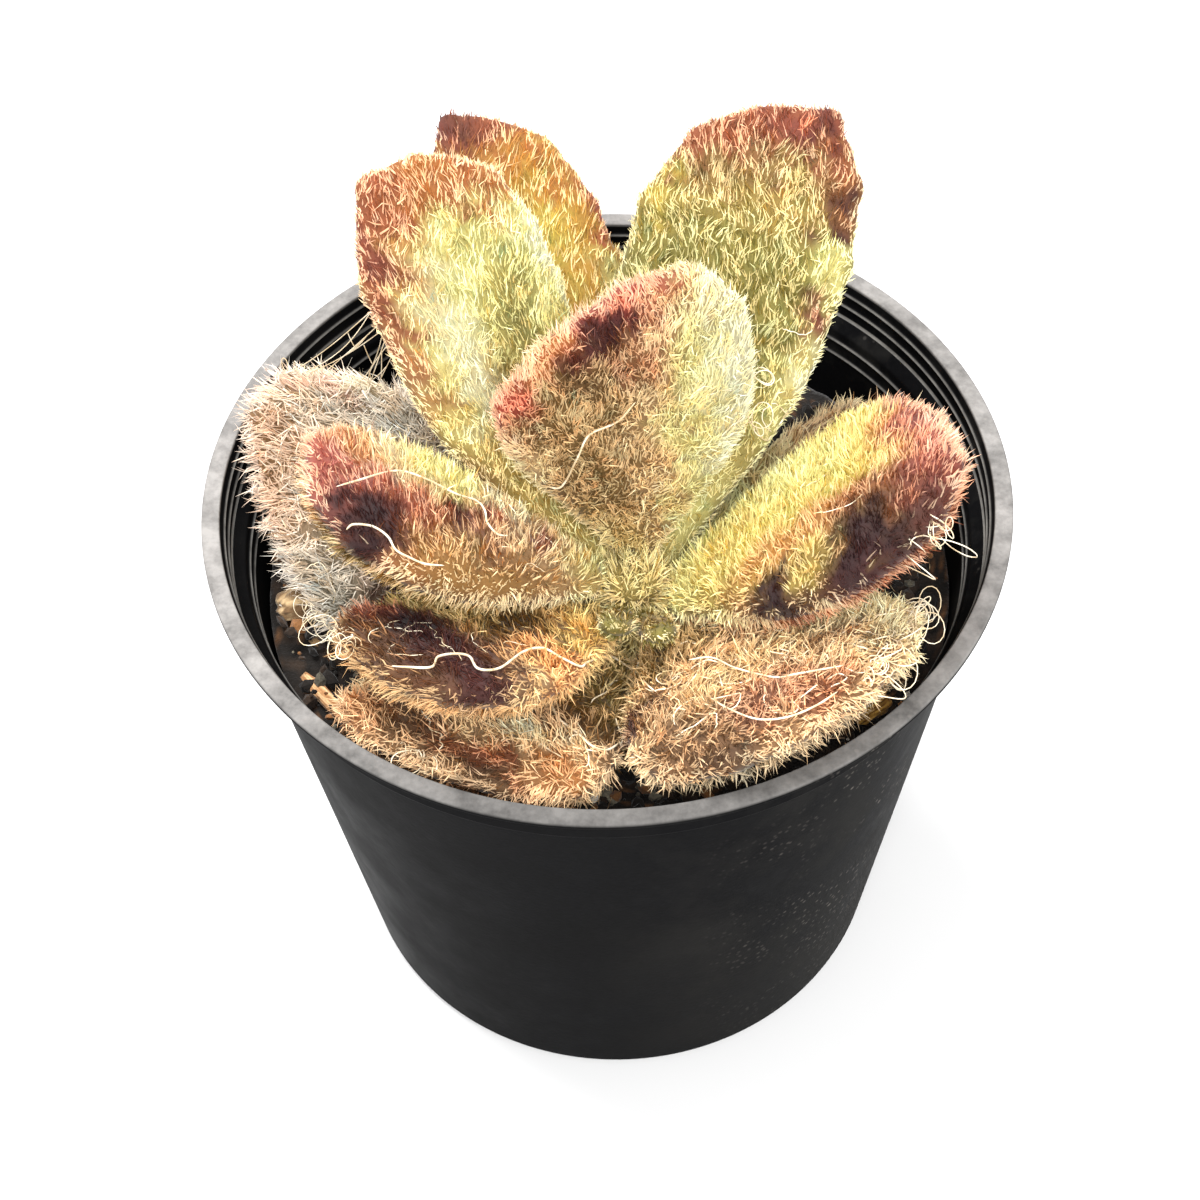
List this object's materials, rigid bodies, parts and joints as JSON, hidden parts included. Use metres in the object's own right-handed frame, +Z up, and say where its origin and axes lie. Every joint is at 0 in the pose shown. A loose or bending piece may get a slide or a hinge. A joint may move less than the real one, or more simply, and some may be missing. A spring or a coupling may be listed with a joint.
{
  "type": "potted panda plant",
  "caption": "Panda plant with thick blunt-toothed furry leaves in a loose rosette, standing in soil in a round tapered nursery pot.",
  "frame": {"origin": "centre of the pot's foot, on the surface that it stands on", "axes": "+Z up along the pot's axis; -Y is the front, where the lowest two front leaves lie over the rim; +X is to the right seen from the front"},
  "size_m": [0.09, 0.09, 0.1015],
  "materials": {
    "pot_plastic": "satin",
    "soil": "matte",
    "stem": "matte",
    "leaf_back_left": "matte",
    "leaf_back_middle": "matte",
    "leaf_back_right": "matte",
    "leaf_centre": "matte",
    "leaf_left": "matte",
    "leaf_right": "matte",
    "leaf_front_left": "matte",
    "leaf_low_front_left": "matte",
    "leaf_low_front_right": "matte",
    "leaf_low_left": "matte",
    "leaf_low_right": "matte",
    "leaf_low_back": "matte",
    "leaf_new_left": "matte",
    "leaf_new_right": "matte",
    "bark_lump": "matte",
    "wood_stick": "matte",
    "bark_chip": "matte"
  },
  "bodies": {
    "root": {"pot": "pot_plastic", "soil": "soil", "stem": "stem", "leaf_back_left": "leaf_back_left", "leaf_back_middle": "leaf_back_middle", "leaf_back_right": "leaf_back_right", "leaf_centre": "leaf_centre", "leaf_left": "leaf_left", "leaf_right": "leaf_right", "leaf_front_left": "leaf_front_left", "leaf_low_front_left": "leaf_low_front_left", "leaf_low_front_right": "leaf_low_front_right", "leaf_low_left": "leaf_low_left", "leaf_low_right": "leaf_low_right", "leaf_low_back": "leaf_low_back", "leaf_new_left": "leaf_new_left", "leaf_new_right": "leaf_new_right", "bark_lump": "bark_lump", "wood_stick": "wood_stick", "bark_chip": "bark_chip"}
  },
  "joints": []
}
